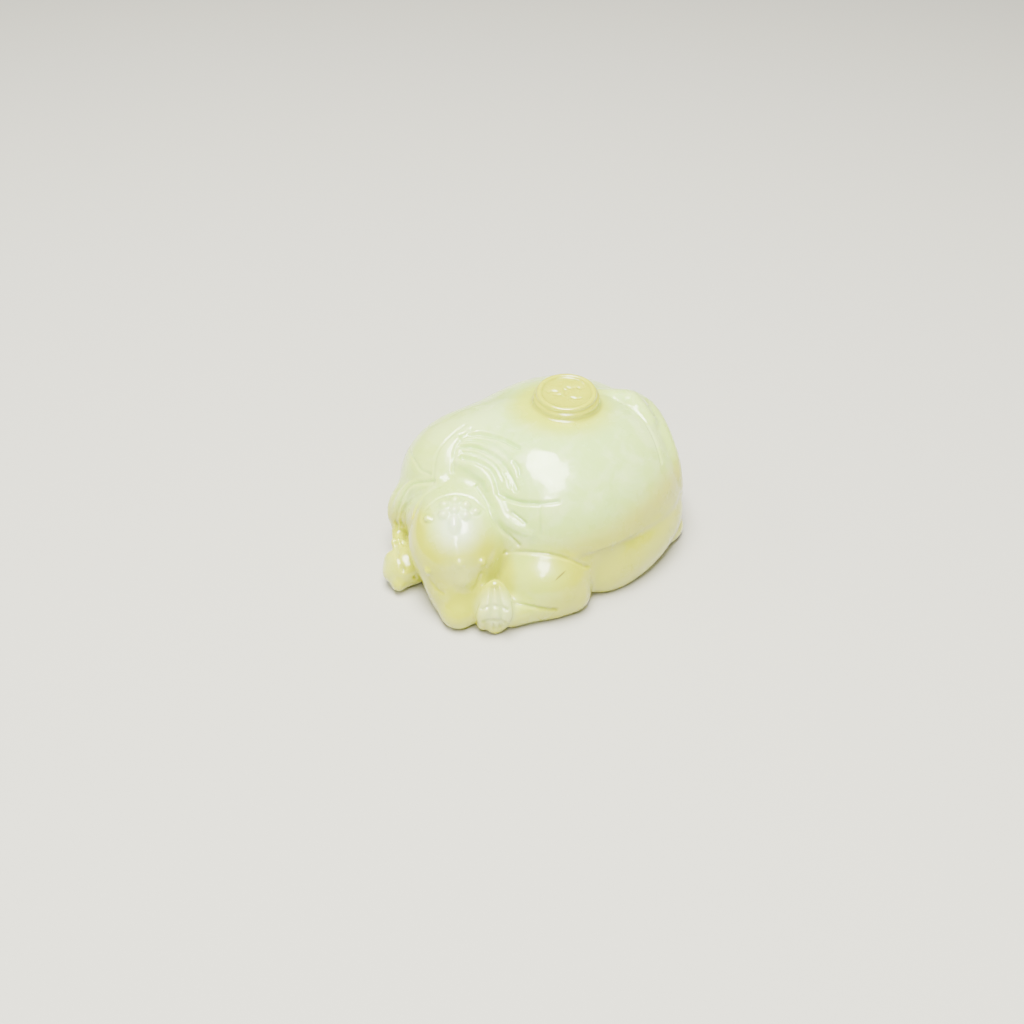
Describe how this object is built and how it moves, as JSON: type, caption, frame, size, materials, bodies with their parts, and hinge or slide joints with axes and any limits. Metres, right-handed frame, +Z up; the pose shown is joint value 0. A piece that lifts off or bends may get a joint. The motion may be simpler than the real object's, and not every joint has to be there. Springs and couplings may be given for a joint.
{
  "type": "jade turtle figurine",
  "caption": "Small polished stone figurine of a crouching turtle with its head turned to one side, a round coin lying on its smooth domed shell and a curled tail.",
  "frame": {"origin": "middle of the flat base on the ground: centre of the bounding box in X and Y, its bottom in Z", "axes": "+Z up, the turtle's body looks along -Y, +X is its left side, towards which the head is turned"},
  "size_m": [0.044, 0.0554, 0.0279],
  "materials": {
    "jade": "polished translucent nephrite, pale greenish white passing into olive yellow"
  },
  "bodies": {
    "root": {"turtle": "jade"}
  },
  "joints": []
}
